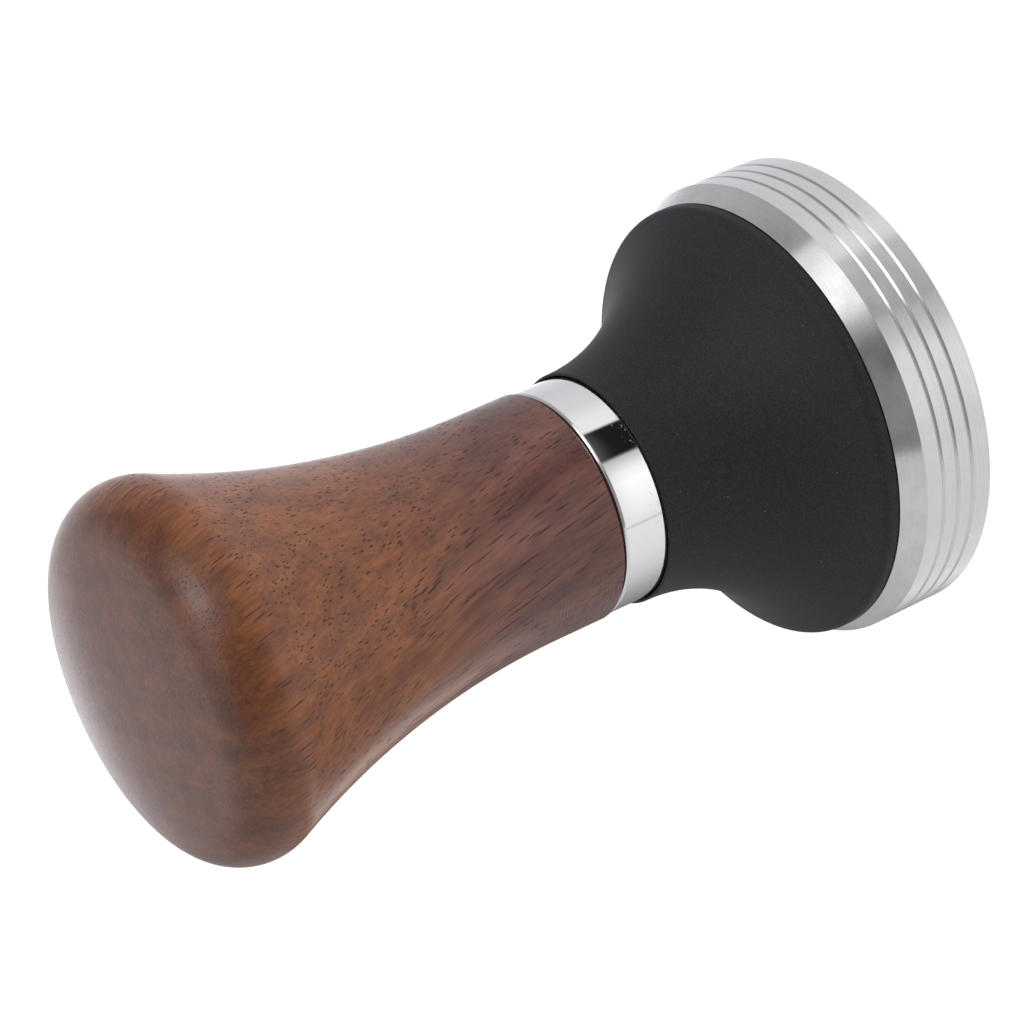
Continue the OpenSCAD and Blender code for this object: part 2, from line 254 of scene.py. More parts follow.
housing = turned("housing_shell", [
    [POST_R + POST_PASS, housing_bottom + SPIGOT_H],
    [SPIGOT_R + SPIGOT_PASS, housing_bottom + SPIGOT_H],
    [SPIGOT_R + SPIGOT_PASS, housing_bottom],
    [housing_r - EDGE, housing_bottom], [housing_r, housing_bottom + EDGE],
    arc(edge_x, edge_z, RIM_ROUND, 0, edge_turn, 12),
    arc(neck_r + flare_r, housing_top, flare_r, 180 + edge_turn, 180 + lip_turn, 72),
    arc(neck_r - lip, housing_top - lip, lip, 0, 90, 8),
    [bore_r + EDGE, housing_top], [bore_r, housing_top - EDGE],
    [bore_r, ring_z1], [ring_r, ring_z1], [ring_r, ring_z0], [bore_r, ring_z0],
    [bore_r, floor_z], [POST_R + POST_PASS, floor_z],
], sharp=math.radians(14))
print(f"housing: flare radius {flare_r:.1f} mm, mouth {2 * bore_r:.2f} mm")

# %% [markdown]
# ## Threads
# A 60 degree thread is nearly a triangle wave that climbs by one pitch in a turn. The nipple, the
# post's foot, the stop screw and the brass insert all use this wave, and the hexagons of the post
# and of the screw's socket share one formula for their flats.

# %% Thread wave and hexagon
def thread(a, z, pitch, depth):
    """How far the thread cuts in, 0 on the crest and -depth in the root:
    depth (2 |frac(z / pitch - a / 2 pi) - 1/2| - 1)."""
    wave = 2 * np.abs(((z / pitch - a / (2 * np.pi)) % 1) - 0.5)
    return depth * (wave - 1)


def hexagon(a, r, flat):
    """What to add to the radius r for a hexagon whose flats lie at that distance."""
    sector = np.mod(a, np.pi / 3) - np.pi / 6
    return flat / np.cos(sector) - r


def between(z, steps):
    """True where a height lies on a finely divided stretch of the outline."""
    return (z > steps[0] - 0.01) & (z < steps[-1] + 0.01)


# %% [markdown]
# ## Plunger sleeve
# A chromed tube whose lower skirt slides in the housing. A web across it carries the plastic
# bush that runs on the post, and above the visible collar a hollow nipple screws into the
# handle. Its thread is a ripple on a finely divided stretch of the outline.

# %% Sleeve with its nipple
SLEEVE_BEVEL = 0.35
TOP_ROUND = 0.41
SKIRT_WALL = 1.5
NIPPLE_R, NIPPLE_BORE = 9.5, 7.5
nipple_top = high("plunger_sleeve")
BUSH_FLANGE = 0.8
web_z, web_top = low("post_bush"), high("post_bush") - BUSH_FLANGE
BUSH_R = 5.54
NIPPLE_PITCH, NIPPLE_DEPTH = 1.0, 0.45
nipple_zs = np.arange(sleeve_top + 0.8, nipple_top - 0.5, NIPPLE_PITCH / 8)


def nipple_thread(a, z, r):
    """Thread on the nipple only: where the radius is the nipple's and z is on the thread."""
    on = (np.abs(r - NIPPLE_R) < 0.01) & between(z, nipple_zs)
    return np.where(on, thread(a, z, NIPPLE_PITCH, NIPPLE_DEPTH), 0)


sleeve = turned("plunger_sleeve_chromed", [
    [BUSH_R, web_z], [sleeve_r - SKIRT_WALL, web_z], [sleeve_r - SKIRT_WALL, sleeve_bottom],
    [sleeve_r - SLEEVE_BEVEL, sleeve_bottom], [sleeve_r, sleeve_bottom + SLEEVE_BEVEL],
    [sleeve_r, sleeve_top - TOP_ROUND],
    arc(sleeve_r - TOP_ROUND, sleeve_top - TOP_ROUND, TOP_ROUND, 12, 78, 6),
    [sleeve_r - TOP_ROUND, sleeve_top],
    [NIPPLE_R, sleeve_top], [NIPPLE_R, sleeve_top + 0.7],
    np.stack([np.full(len(nipple_zs), NIPPLE_R), nipple_zs], 1),
    [NIPPLE_R - 0.5, nipple_top], [NIPPLE_BORE, nipple_top],
    [NIPPLE_BORE, web_top], [BUSH_R, web_top],
], ripple=nipple_thread)
print("sleeve:", len(sleeve.data.polygons), "faces, thread pitch", NIPPLE_PITCH, "mm")

# %% [markdown]
# ## Walnut handle
# The handle's line is a short straight neck, a long hollow waist, a rounded grip and a shallow
# crown. Each is an arc of a circle that runs into the next without a corner, as a turner's
# gouge leaves it. The waist's radius follows from the neck, the grip and the height between
# them: its circle is upright at the neck and touches the grip's circle.

# %% Handle
HANDLE_PROUD, HANDLE_NECK_H = 0.23, 6.8
GRIP_ROUND, CROWN_R = 7.3, 60.0
HANDLE_BEVEL = 0.28
POCKET_OVER = 2.0
insert_r = outer("thread_insert")
insert_top = high("thread_insert")
pocket_top = insert_top + POCKET_OVER

neck_x = sleeve_r + HANDLE_PROUD
crown_z = handle_top - CROWN_R
grip_x = grip_r - GRIP_ROUND
grip_z = crown_z + math.sqrt((CROWN_R - GRIP_ROUND) ** 2 - grip_x ** 2)
waist_z = handle_bottom + HANDLE_NECK_H
dx, dz = neck_x - grip_x, grip_z - waist_z
waist_r = (dx ** 2 + dz ** 2 - GRIP_ROUND ** 2) / (2 * (GRIP_ROUND - dx))
waist_turn = math.degrees(math.atan2(dz, waist_r + dx))
crown_turn = math.degrees(math.atan2(grip_z - crown_z, grip_x))

handle = turned("walnut_handle", [
    [0, pocket_top], [NIPPLE_R, pocket_top], [NIPPLE_R, insert_top], [insert_r, insert_top],
    [insert_r, handle_bottom], [neck_x - HANDLE_BEVEL, handle_bottom],
    [neck_x, handle_bottom + HANDLE_BEVEL],
    arc(neck_x + waist_r, waist_z, waist_r, 180, 180 - waist_turn, 60),
    arc(grip_x, grip_z, GRIP_ROUND, -waist_turn, crown_turn, 40),
    arc(0, crown_z, CROWN_R, crown_turn, 90, 24),
])
print(f"handle: waist radius {waist_r:.0f} mm, crown radius {CROWN_R:.0f} mm")

# %% [markdown]
# ## Coil spring
# A compression spring has closed, ground ends: the last turn at each end lies on its neighbour
# and is ground flat, so that the spring stands square. The wire's centre follows a helix whose
# pitch is the wire's own diameter at the ends and wide between them. A ring of points is placed
# round that centre at every step, and grinding is a limit on the points' heights.

# %% Spring
WIRE_R, GROUND_OFF = 1.1, 0.45
END_TURNS, WORKING_TURNS = 1.0, 3.0
spring_z0, spring_z1 = low("main_spring"), high("main_spring")
coil_r = outer("main_spring") - WIRE_R
turns = 2 * END_TURNS + WORKING_TURNS
end_pitch = 2 * WIRE_R + 0.02
rest_pitch = (spring_z1 - spring_z0 - 2 * WIRE_R - 2 * END_TURNS * end_pitch) / WORKING_TURNS


def coil(name, around=20, per_turn=96):
    """The wire's centre is (R cos t, R sin t, h(t)), with h rising by the end pitch, the working
    pitch, then the end pitch. The section is a circle across the wire. The ends are clipped
    flat, and then the coil is stretched back to its full height."""
    t = np.linspace(0, turns, int(turns * per_turn) + 1)[:, None]
    h = spring_z0 + WIRE_R + end_pitch * np.clip(t, 0, END_TURNS)
    h = h + rest_pitch * np.clip(t - END_TURNS, 0, WORKING_TURNS)
    h = h + end_pitch * np.clip(t - END_TURNS - WORKING_TURNS, 0, END_TURNS)
    a = np.linspace(0, 2 * np.pi, around, endpoint=False)[None, :]
    r = coil_r + WIRE_R * np.cos(a)
    z = np.clip(h + WIRE_R * np.sin(a), spring_z0 + GROUND_OFF, spring_z1 - GROUND_OFF)
    tall = spring_z1 - spring_z0
    z = (z - spring_z0 - GROUND_OFF) * tall / (tall - 2 * GROUND_OFF) + spring_z0
    angle = 2 * np.pi * t
    points = np.stack([r * np.cos(angle), r * np.sin(angle), z], 2)
    n = len(t)
    i, j = np.arange(n - 1)[:, None], np.arange(around)[None, :]
    k = (j + 1) % around
    quads = np.stack([i * around + j, (i + 1) * around + j, (i + 1) * around + k, i * around + k], 2)
    points = np.concatenate([points.reshape(-1, 3), [points[0].mean(0), points[-1].mean(0)]])
    j, k = j.ravel(), k.ravel()
    caps = np.concatenate([
        np.stack([np.full(around, n * around), j, k], 1),
        np.stack([np.full(around, n * around + 1), (n - 1) * around + k, (n - 1) * around + j], 1),
    ])
    return surface(name, points, quads, caps, sharp=math.radians(50))


spring = coil("main_spring_coil")
print(f"spring: {turns:.0f} turns, wire {2 * WIRE_R:.1f} mm, coil {2 * coil_r:.1f} mm")

# %% [markdown]
# ## Threads and knurls inside
# The post's foot and the stop screw have metric threads, and the brass insert has a diamond
# knurl so that it can't turn in the wood. A knurl is two families of ridges that lean opposite
# ways round the ring, so its ripple is the greater of two triangle waves.

# %% Guide post
post_low, post_top = low("guide_post"), high("guide_post")
LOCK_WASHER_T = 1.0
HEX_H, HEX_R = 3.0, 5.5
FOOT_BEVEL_R, POST_BEVEL = 0.6, 0.4
hex_z0 = floor_z + LOCK_WASHER_T
TAP_R, TAP_DEPTH = 2.5, 9.0
FOOT_PITCH, FOOT_DEPTH = 1.25, 0.5
tap_z = post_top - TAP_DEPTH
foot_zs = np.arange(post_low + 0.6, base_top - 0.4, FOOT_PITCH / 8)


def post_ripple(a, z, r):
    """Thread on the foot, and the flats of the hexagon."""
    threaded = (np.abs(r - POST_R) < 0.01) & between(z, foot_zs)
    foot = np.where(threaded, thread(a, z, FOOT_PITCH, FOOT_DEPTH), 0)
    return foot + np.where(r > POST_R + 1.0, hexagon(a, r, HEX_R), 0)


post = turned("guide_post_threaded", [
    [0, post_low], [POST_R - FOOT_BEVEL_R, post_low],
    np.stack([np.full(len(foot_zs), POST_R), foot_zs], 1),
    [POST_R, hex_z0], [HEX_R, hex_z0], [HEX_R, hex_z0 + HEX_H], [POST_R, hex_z0 + HEX_H],
    [POST_R, post_top - POST_BEVEL], [POST_R - POST_BEVEL, post_top],
    [TAP_R, post_top], [TAP_R, tap_z], [0, tap_z - 1.0],
], around=180, ripple=post_ripple)

# %% Stop screw and brass insert
screw_low, screw_top = low("stop_screw"), high("stop_screw")
head_z = high("stop_washer")
head_r = outer("stop_screw")
SOCKET_R, SOCKET_D, SOCKET_MOUTH_R, SOCKET_MOUTH_D = 1.5, 1.6, 1.9, 0.25
SCREW_PITCH, SCREW_DEPTH = 0.8, 0.35
screw_zs = np.arange(screw_low + 0.4, head_z - 2.0, SCREW_PITCH / 8)


def screw_ripple(a, z, r):
    """Thread on the shank, and the flats of the socket."""
    threaded = (np.abs(r - TAP_R) < 0.01) & between(z, screw_zs)
    shank = np.where(threaded, thread(a, z, SCREW_PITCH, SCREW_DEPTH), 0)
    socket = (np.abs(r - SOCKET_R) < 0.01) & (z > head_z)
    return shank + np.where(socket, hexagon(a, r, SOCKET_R), 0)


head_h = screw_top - head_z
dome_r = (head_r ** 2 + head_h ** 2) / (2 * head_h)
dome_a0 = math.degrees(math.asin((dome_r - head_h) / dome_r))
dome_a1 = math.degrees(math.acos(SOCKET_MOUTH_R / dome_r))
screw = turned("stop_screw_button_head", [
    [0, screw_low], [TAP_R - 0.4, screw_low],
    np.stack([np.full(len(screw_zs), TAP_R), screw_zs], 1),
    [TAP_R, head_z], [head_r - 0.1, head_z],
    arc(0, screw_top - dome_r, dome_r, dome_a0, dome_a1, 12),
    [SOCKET_R, screw_top - SOCKET_MOUTH_D], [SOCKET_R, screw_top - SOCKET_D],
    [0, screw_top - SOCKET_D - 0.4],
], around=120, ripple=screw_ripple)

insert_low = low("thread_insert")
knurl_zs = np.linspace(insert_low + 0.5, insert_top - 0.5, 81)
bore_zs = knurl_zs[::-1]
KNURLS, KNURL_DEPTH, INSERT_DEPTH = 60, 0.25, 0.4


def insert_ripple(a, z, r):
    """Diamond knurl outside and the nipple's thread inside."""
    lean = (z - insert_low) * KNURLS / (2 * np.pi * insert_r)
    turn = KNURLS * a / (2 * np.pi)
    ridge = np.maximum(np.abs((turn + lean) % 1 - 0.5), np.abs((turn - lean) % 1 - 0.5))
    inside = (z > insert_low + 0.4) & (z < insert_top - 0.4)
    knurl = np.where(inside & (r > insert_r - 0.2), 2 * KNURL_DEPTH * (ridge - 0.5), 0)
    bore = inside & (r < NIPPLE_R + 0.2)
    return knurl + np.where(bore, -thread(a, z, NIPPLE_PITCH, INSERT_DEPTH), 0)


insert = turned("thread_insert_knurled", [
    [NIPPLE_R + 0.4, insert_low], [insert_r - 0.3, insert_low],
    np.stack([np.full(len(knurl_zs), insert_r - 0.02), knurl_zs], 1),
    [insert_r - 0.3, insert_top], [NIPPLE_R + 0.4, insert_top],
    np.stack([np.full(len(bore_zs), NIPPLE_R + 0.02), bore_zs], 1),
], around=360, ripple=insert_ripple, sharp=math.radians(40))
print("post, screw and insert:", [len(o.data.polygons) for o in (post, screw, insert)], "faces")

# %% [markdown]
# ## Building a finish
# A finish starts from what the real surface is. Colours are written as sRGB hex, as a paint
# chart gives them, and turned to linear light by one function. One small helper adds a node,
# sets its values and makes its links, so that a finish reads from top to bottom. Patterns use
# Object coordinates in millimetres, so their scale is a real size.

# %% Node helper and colours
def linear(hexcode, alpha=1.0):
    """sRGB hex to linear colour: c / 12.92 below 0.04045, else ((c + 0.055) / 1.055) ^ 2.4."""
    c = np.array([int(hexcode[i:i + 2], 16) for i in (1, 3, 5)]) / 255
    lin = np.where(c <= 0.04045, c / 12.92, ((c + 0.055) / 1.055) ** 2.4)
    return (*lin.tolist(), alpha)


def add(tree, kind, links=None, values=None, **settings):
    """Adds a node of that kind, sets its properties, its socket values and its links."""
    made = tree.nodes.new(kind)
    for key, value in settings.items():
        setattr(made, key, value)
    for key, value in (values or {}).items():
        made.inputs[key].default_value = value
    for key, socket in (links or {}).items():
        tree.links.new(socket, made.inputs[key])
    return made


def finish(name, **sockets):
    """A new material with a Principled shader: returns the material, its tree and the shader."""
    material = bpy.data.materials.new(name)
    material.use_nodes = True
    tree = material.node_tree
    shader = tree.nodes["Principled BSDF"]
    for key, value in sockets.items():
        shader.inputs[key.replace("_", " ")].default_value = value
    return material, tree, shader


def millimetres(tree):
    """Object coordinates in millimetres."""
    place = add(tree, "ShaderNodeTexCoord")
    return add(tree, "ShaderNodeVectorMath", {0: place.outputs["Object"]},
               {"Scale": 1 / MM}, operation="SCALE").outputs[0]


def ramp(tree, socket, stops):
    """A colour ramp with (position, colour) stops."""
    made = add(tree, "ShaderNodeValToRGB", {"Fac": socket})
    while len(made.color_ramp.elements) < len(stops):
        made.color_ramp.elements.new(1.0)
    for element, (position, colour) in zip(made.color_ramp.elements, stops):
        element.position = position
        element.color = colour
    return made.outputs["Color"]


def grey(value):
    """The same value in all three channels, opaque."""
    return (value, value, value, 1)


def times(tree, first, second, share=1.0):
    """Two colours multiplied. share is how much of the second one counts, a number or a socket."""
    links = {6: first, 7: second}
    values = {}
    if isinstance(share, bpy.types.NodeSocket):
        links[0] = share
    else:
        values[0] = share
    return add(tree, "ShaderNodeMix", links, values, data_type="RGBA",
               blend_type="MULTIPLY").outputs[2]


def lathe_coordinates(tree):
    """Two results: (distance from the axis, 0, height), on which a pattern runs in rings round
    the axis, and the plain place in millimetres."""
    mm = millimetres(tree)
    flat = add(tree, "ShaderNodeVectorMath", {0: mm}, {1: (1, 1, 0)}, operation="MULTIPLY")
    away = add(tree, "ShaderNodeVectorMath", {0: flat.outputs[0]}, operation="LENGTH")
    split = add(tree, "ShaderNodeSeparateXYZ", {0: mm})
    rings = add(tree, "ShaderNodeCombineXYZ", {"X": away.outputs["Value"], "Z": split.outputs["Z"]})
    return rings.outputs[0], mm


# %% [markdown]
# ## Turned stainless steel
# The tool leaves rings finer than a tenth of a millimetre. They scatter light across the
# rings and hardly along them, which an anisotropic shader does, and they are the reason that
# turned steel shows bright and dark sectors. The tangent runs round the axis, and a quarter
# turn of the anisotropy puts the scatter across it. Lines of about 0.3 mm are drawn as well,
# because finer ones would not show. Soft clouds stand for handling, and small flecks for the
# grain of the metal.

# %% Stainless
def turned_stainless():
    """Steel with lathe rings, soft stains and a scatter that runs across the rings."""
    material, tree, shader = finish("turned_stainless_steel", Metallic=1.0, Anisotropic=0.88,
                                    Anisotropic_Rotation=0.25)
    rings, mm = lathe_coordinates(tree)
    fine = add(tree, "ShaderNodeTexNoise", {"Vector": rings}, {"Scale": 3.2, "Detail": 3.0})
    cloud = add(tree, "ShaderNodeTexNoise", {"Vector": mm}, {"Scale": 0.3, "Detail": 4.0})
    tone = ramp(tree, fine.outputs["Fac"], [(0.3, linear("#d6d6d5")), (0.7, linear("#dbdbda"))])
    stain = ramp(tree, cloud.outputs["Fac"], [(0.35, grey(0.92)), (0.6, grey(1.0))])
    grain = add(tree, "ShaderNodeTexNoise", {"Vector": mm}, {"Scale": 7.0, "Detail": 2.0})
    fleck = ramp(tree, grain.outputs["Fac"], [(0.3, grey(0.98)), (0.7, grey(1.06))])
    colour = times(tree, times(tree, tone, stain), fleck)
    tree.links.new(colour, shader.inputs["Base Color"])
    rough = add(tree, "ShaderNodeMapRange", {"Value": cloud.outputs["Fac"]},
                {"From Min": 0.3, "From Max": 0.7, "To Min": 0.20, "To Max": 0.26})
    tree.links.new(rough.outputs["Result"], shader.inputs["Roughness"])
    around = add(tree, "ShaderNodeTangent", direction_type="RADIAL", axis="Z")
    tree.links.new(around.outputs["Tangent"], shader.inputs["Tangent"])
    bump = add(tree, "ShaderNodeBump", {"Height": fine.outputs["Fac"]},
               {"Strength": 0.03, "Distance": 0.02 * MM})
    tree.links.new(bump.outputs["Normal"], shader.inputs["Normal"])
    return material


stainless = turned_stainless()

# %% [markdown]
# ## Black powder coat
# The housing is cast aluminium with a matt black coat. The coat has a fine peel, about a
# third of a millimetre from bump to bump, which turns reflections into a wide soft sheen, and
# a still finer grit in its colour. A few specks of dust lie on it.

# %% Black coat
def black_coat():
    """Matt black with a fine peel, grit and a few specks of dust."""
    material, tree, shader = finish("matt_black_powder_coat", Roughness=0.6,
                                    Specular_IOR_Level=0.28)
    mm = millimetres(tree)
    peel = add(tree, "ShaderNodeTexNoise", {"Vector": mm}, {"Scale": 3.0, "Detail": 3.0})
    dust = add(tree, "ShaderNodeTexVoronoi", {"Vector": mm}, {"Scale": 0.3, "Randomness": 1.0})
    grit = add(tree, "ShaderNodeTexNoise", {"Vector": mm}, {"Scale": 5.0, "Detail": 2.0})
    black = ramp(tree, grit.outputs["Fac"], [(0.3, linear("#131314")), (0.7, linear("#29292a"))])
    speck = ramp(tree, dust.outputs["Distance"], [(0.02, grey(0.7)), (0.034, grey(0.0))])
    colour = add(tree, "ShaderNodeMix", {0: speck, 6: black}, {7: linear("#6c6c6c")},
                 data_type="RGBA")
    tree.links.new(colour.outputs[2], shader.inputs["Base Color"])
    bump = add(tree, "ShaderNodeBump", {"Height": peel.outputs["Fac"]},
               {"Strength": 0.6, "Distance": 0.06 * MM})
    tree.links.new(bump.outputs["Normal"], shader.inputs["Normal"])
    return material


coat = black_coat()

# %% [markdown]
# ## Chrome plate
# Plated and buffed brass: a true mirror. Close to the mouth of the housing, where the sleeve
# slides, a few short hairline scuffs scatter the light.

# %% Chrome
def chrome_plate():
    """A mirror that is scuffed in places, more so close to the housing's mouth."""
    material, tree, shader = finish("polished_chrome_plate", Metallic=1.0, Roughness=0.03)
    shader.inputs["Base Color"].default_value = linear("#e7e7e8")
    mm = millimetres(tree)
    scuff = add(tree, "ShaderNodeTexNoise", {"Vector": mm}, {"Scale": 2.2, "Detail": 5.0})
    height = add(tree, "ShaderNodeSeparateXYZ", {0: mm})
    near_mouth = add(tree, "ShaderNodeMapRange", {"Value": height.outputs["Z"]},
                     {"From Min": housing_top + 0.4, "From Max": housing_top + 2.4,
                      "To Min": 0.1, "To Max": 0.0})
    worn = add(tree, "ShaderNodeMath", {0: scuff.outputs["Fac"], 1: near_mouth.outputs["Result"]},
               operation="ADD")
    rough = ramp(tree, worn.outputs[0], [(0.695, grey(0.03)), (0.76, grey(0.3))])
    tree.links.new(rough, shader.inputs["Roughness"])
    return material


chrome = chrome_plate()

# %% [markdown]
# ## Oiled walnut
# Black walnut's pores are tubes about 0.15 mm wide that run with the grain. On the straight
# neck they show as long dark dashes, on the sloping waist as short ones, and on the crown,
# which is end grain, as dots. A solid pattern does this by itself: the pores are the middles of
# Voronoi cells that are some twenty-five times longer than wide, and the surface cuts through
# them.
# Growth rings are bands of the distance from the tree's heart, which lies well beside the
# handle, each with a dark line where the year's growth ended. The billet was not quite straight
# in the lathe, so the grain leans by some degrees. Its colour drifts from a cool brown at
# the neck to a warmer one at the grip. Fibres that run out towards the crown look darker and
# cooler than those that run out at the waist, so the tone follows the angle between the surface
# and the grain. Part of this is the end grain taking more oil, and part is painted shade that
# stands in for the fibres' sheen, which changes with their angle to the light.
# Faint marks of the last sanding run round the axis.

# %% Grain and pores
GRAIN_LEAN = 12.0
HEART = (-66.0, 25.0)
YEAR = 5.6
PORE_ACROSS, PORE_ALONG = 0.42, 11.0


def grain_space(tree, mm):
    """Millimetres with the third axis along the grain, bent by a slow sway of about 1 mm."""
    leaning = add(tree, "ShaderNodeMapping", {"Vector": mm},
                  {"Rotation": (math.radians(1.5), math.radians(GRAIN_LEAN), 0)}).outputs[0]
    slow = add(tree, "ShaderNodeMapping", {"Vector": leaning}, {"Scale": (0.06, 0.06, 0.03)})
    sway = add(tree, "ShaderNodeTexNoise", {"Vector": slow.outputs[0]}, {"Scale": 1.0, "Detail": 1.5})
    middle = add(tree, "ShaderNodeVectorMath", {0: sway.outputs["Color"]}, {1: (0.5, 0.5, 0.5)},
                 operation="SUBTRACT")
    swing = add(tree, "ShaderNodeVectorMath", {0: middle.outputs[0]}, {1: (3.4, 3.4, 0.0)},
                operation="MULTIPLY")
    return add(tree, "ShaderNodeVectorMath", {0: leaning, 1: swing.outputs[0]},
               operation="ADD").outputs[0]


def pores(tree, grain, across, along, width):
    """Dark tubes of that width in mm, one for each cell, across mm wide and along mm long.
    width is a socket. Returns 1 inside a pore and 0 outside."""
    cell = add(tree, "ShaderNodeMapping", {"Vector": grain},
               {"Scale": (1 / across, 1 / across, 1 / along)})
    voronoi = add(tree, "ShaderNodeTexVoronoi", {"Vector": cell.outputs[0]},
                  {"Scale": 1.0, "Randomness": 1.0})
    reach = add(tree, "ShaderNodeMath", {0: voronoi.outputs["Distance"]}, {1: 2 * across},
                operation="MULTIPLY")
    share = add(tree, "ShaderNodeMath", {0: reach.outputs[0], 1: width}, operation="DIVIDE")
    made = add(tree, "ShaderNodeMapRange", {"Value": share.outputs[0]},
               {"From Min": 0.45, "From Max": 1.1, "To Min": 0.9, "To Max": 0.0},
               interpolation_type="SMOOTHSTEP")
    return made.outputs["Result"]


# %% Growth rings, fibres and end grain
def year_rings(tree, grain):
    """Two sockets: the distance from the tree's heart in years, and a value that differs from
    one year to the next."""
    heart = add(tree, "ShaderNodeVectorMath", {0: grain}, {1: (-HEART[0], -HEART[1], 0)},
                operation="ADD")
    flat = add(tree, "ShaderNodeVectorMath", {0: heart.outputs[0]}, {1: (1, 1, 0)},
               operation="MULTIPLY")
    away = add(tree, "ShaderNodeVectorMath", {0: flat.outputs[0]}, operation="LENGTH")
    years = add(tree, "ShaderNodeMath", {0: away.outputs["Value"]}, {1: YEAR}, operation="DIVIDE")
    ring_place = add(tree, "ShaderNodeCombineXYZ", {"X": years.outputs[0]})
    each = add(tree, "ShaderNodeTexNoise", {"Vector": ring_place.outputs[0]},
               {"Scale": 1.7, "Detail": 3.0, "Roughness": 0.6})
    return years.outputs[0], each.outputs["Fac"]


def stretched_noise(tree, place, stretch, values):
    """Noise on a place whose axes are scaled: a small scale along the grain gives long fibres."""
    mapped = add(tree, "ShaderNodeMapping", {"Vector": place}, {"Scale": stretch})
    return add(tree, "ShaderNodeTexNoise", {"Vector": mapped.outputs[0]}, values).outputs["Fac"]


def end_grain(tree):
    """0 to 1: (n . g + 1) / 2 for the surface's normal n and the direction g of the grain."""
    normal = add(tree, "ShaderNodeTexCoord").outputs["Normal"]
    lean = math.radians(GRAIN_LEAN)
    turned_to = add(tree, "ShaderNodeVectorMath", {0: normal},
                    {1: (-math.sin(lean), 0, math.cos(lean))}, operation="DOT_PRODUCT")
    return add(tree, "ShaderNodeMapRange", {"Value": turned_to.outputs["Value"]},
               {"From Min": -1.0, "From Max": 1.0}).outputs["Result"]


# %% Tone of the wood
def wood_tone(tree, mm, each, phase, facing, fibre, patches):
    """The wood's colour without its pores."""
    height = add(tree, "ShaderNodeSeparateXYZ", {0: mm})
    drift = add(tree, "ShaderNodeMapRange", {"Value": height.outputs["Z"]},
                {"From Min": handle_bottom + 8, "From Max": handle_bottom + 36},
                interpolation_type="SMOOTHSTEP").outputs["Result"]
    cool = ramp(tree, each, [(0.3, linear("#633d35")), (0.7, linear("#70453a"))])
    warm = ramp(tree, each, [(0.3, linear("#7b482b")), (0.7, linear("#8b522c"))])
    tone = add(tree, "ShaderNodeMix", {0: drift, 6: cool, 7: warm}, data_type="RGBA").outputs[2]
    dusk = (0.74, 0.68, 0.76, 1)
    year_end = ramp(tree, phase, [(0.0, dusk), (0.08, grey(0.96)), (0.5, grey(1.0)),
                                  (0.8, grey(0.94)), (0.96, dusk)])
    ringed = add(tree, "ShaderNodeMapRange", {"Value": drift},
                 {"To Min": 1.0, "To Max": 0.55}).outputs["Result"]
    streak = ramp(tree, fibre, [(0.36, grey(0.7)), (0.5, grey(0.96)), (0.63, grey(1.16))])
    patch = ramp(tree, patches, [(0.38, (0.78, 0.75, 0.77, 1)), (0.62, (1.15, 1.13, 1.05, 1))])
    # Darker and cooler where the fibres run out towards the crown: partly the end grain's oil, partly
    # painted shade for the fibres' sheen.
    runout_oil_and_fibre_shade = ramp(tree, facing, [(0.3, grey(1.0)), (0.5, grey(0.98)), (0.62, grey(0.78)),
                                 (0.75, (0.62, 0.6, 0.67, 1)), (0.95, (0.5, 0.48, 0.57, 1))])
    tone = times(tree, tone, year_end, ringed)
    for layer in (streak, patch, runout_oil_and_fibre_shade):
        tone = times(tree, tone, layer)
    return tone


# %% Walnut with its pores
def oiled_walnut():
    """Tone, pores, sheen and relief of the handle's wood."""
    material, tree, shader = finish("oiled_black_walnut", Specular_IOR_Level=0.5)
    mm = millimetres(tree)
    grain = grain_space(tree, mm)
    years, each = year_rings(tree, grain)
    fibre = stretched_noise(tree, grain, (1, 1, 0.06),
                            {"Scale": 2.4, "Detail": 4.0, "Roughness": 0.7})
    patches = stretched_noise(tree, grain, (0.4, 0.4, 0.13),
                              {"Scale": 1.0, "Detail": 4.0, "Roughness": 0.6})
    ragged = add(tree, "ShaderNodeMath", {0: fibre, 2: years}, {1: 0.22},
                 operation="MULTIPLY_ADD")
    phase = add(tree, "ShaderNodeMath", {0: ragged.outputs[0]}, operation="FRACT").outputs[0]
    facing = end_grain(tree)
    tone = wood_tone(tree, mm, each, phase, facing, fibre, patches)

    width = ramp(tree, phase, [(0.0, grey(0.28)), (0.3, grey(0.25)), (0.7, grey(0.2)),
                               (0.97, grey(0.2)), (1.0, grey(0.28))])
    pore = pores(tree, grain, PORE_ACROSS, PORE_ALONG, width)
    shown = ramp(tree, facing, [(0.5, grey(1.0)), (0.7, grey(0.4))])
    inked = add(tree, "ShaderNodeMath", {0: pore, 1: shown}, operation="MULTIPLY").outputs[0]
    colour = add(tree, "ShaderNodeMix", {0: inked, 6: tone}, {7: linear("#311c17")},
                 data_type="RGBA")
    tree.links.new(colour.outputs[2], shader.inputs["Base Color"])
    rough = add(tree, "ShaderNodeMapRange", {"Value": inked}, {"To Min": 0.3, "To Max": 0.7})
    tree.links.new(rough.outputs["Result"], shader.inputs["Roughness"])

    sanding = stretched_noise(tree, mm, (0.15, 0.15, 3.0), {"Scale": 1.0, "Detail": 2.0})
    relief = add(tree, "ShaderNodeMath", {0: fibre, 1: inked}, operation="SUBTRACT")
    relief = add(tree, "ShaderNodeMath", {0: sanding, 1: relief.outputs[0]}, operation="ADD")
    bump = add(tree, "ShaderNodeBump", {"Height": relief.outputs[0]},
               {"Strength": 0.4, "Distance": 0.07 * MM})
    tree.links.new(bump.outputs["Normal"], shader.inputs["Normal"])
    return material


walnut = oiled_walnut()
print(f"walnut: a year is {YEAR} mm, pores {PORE_ALONG / PORE_ACROSS:.0f} times as long as wide")

# %% [markdown]
# ## Finishes inside
# The hidden parts have shop finishes: zinc plate on the fasteners, drawn wire, brass, natural
# acetal and nitrile rubber. Each gets a fine pattern of its own.

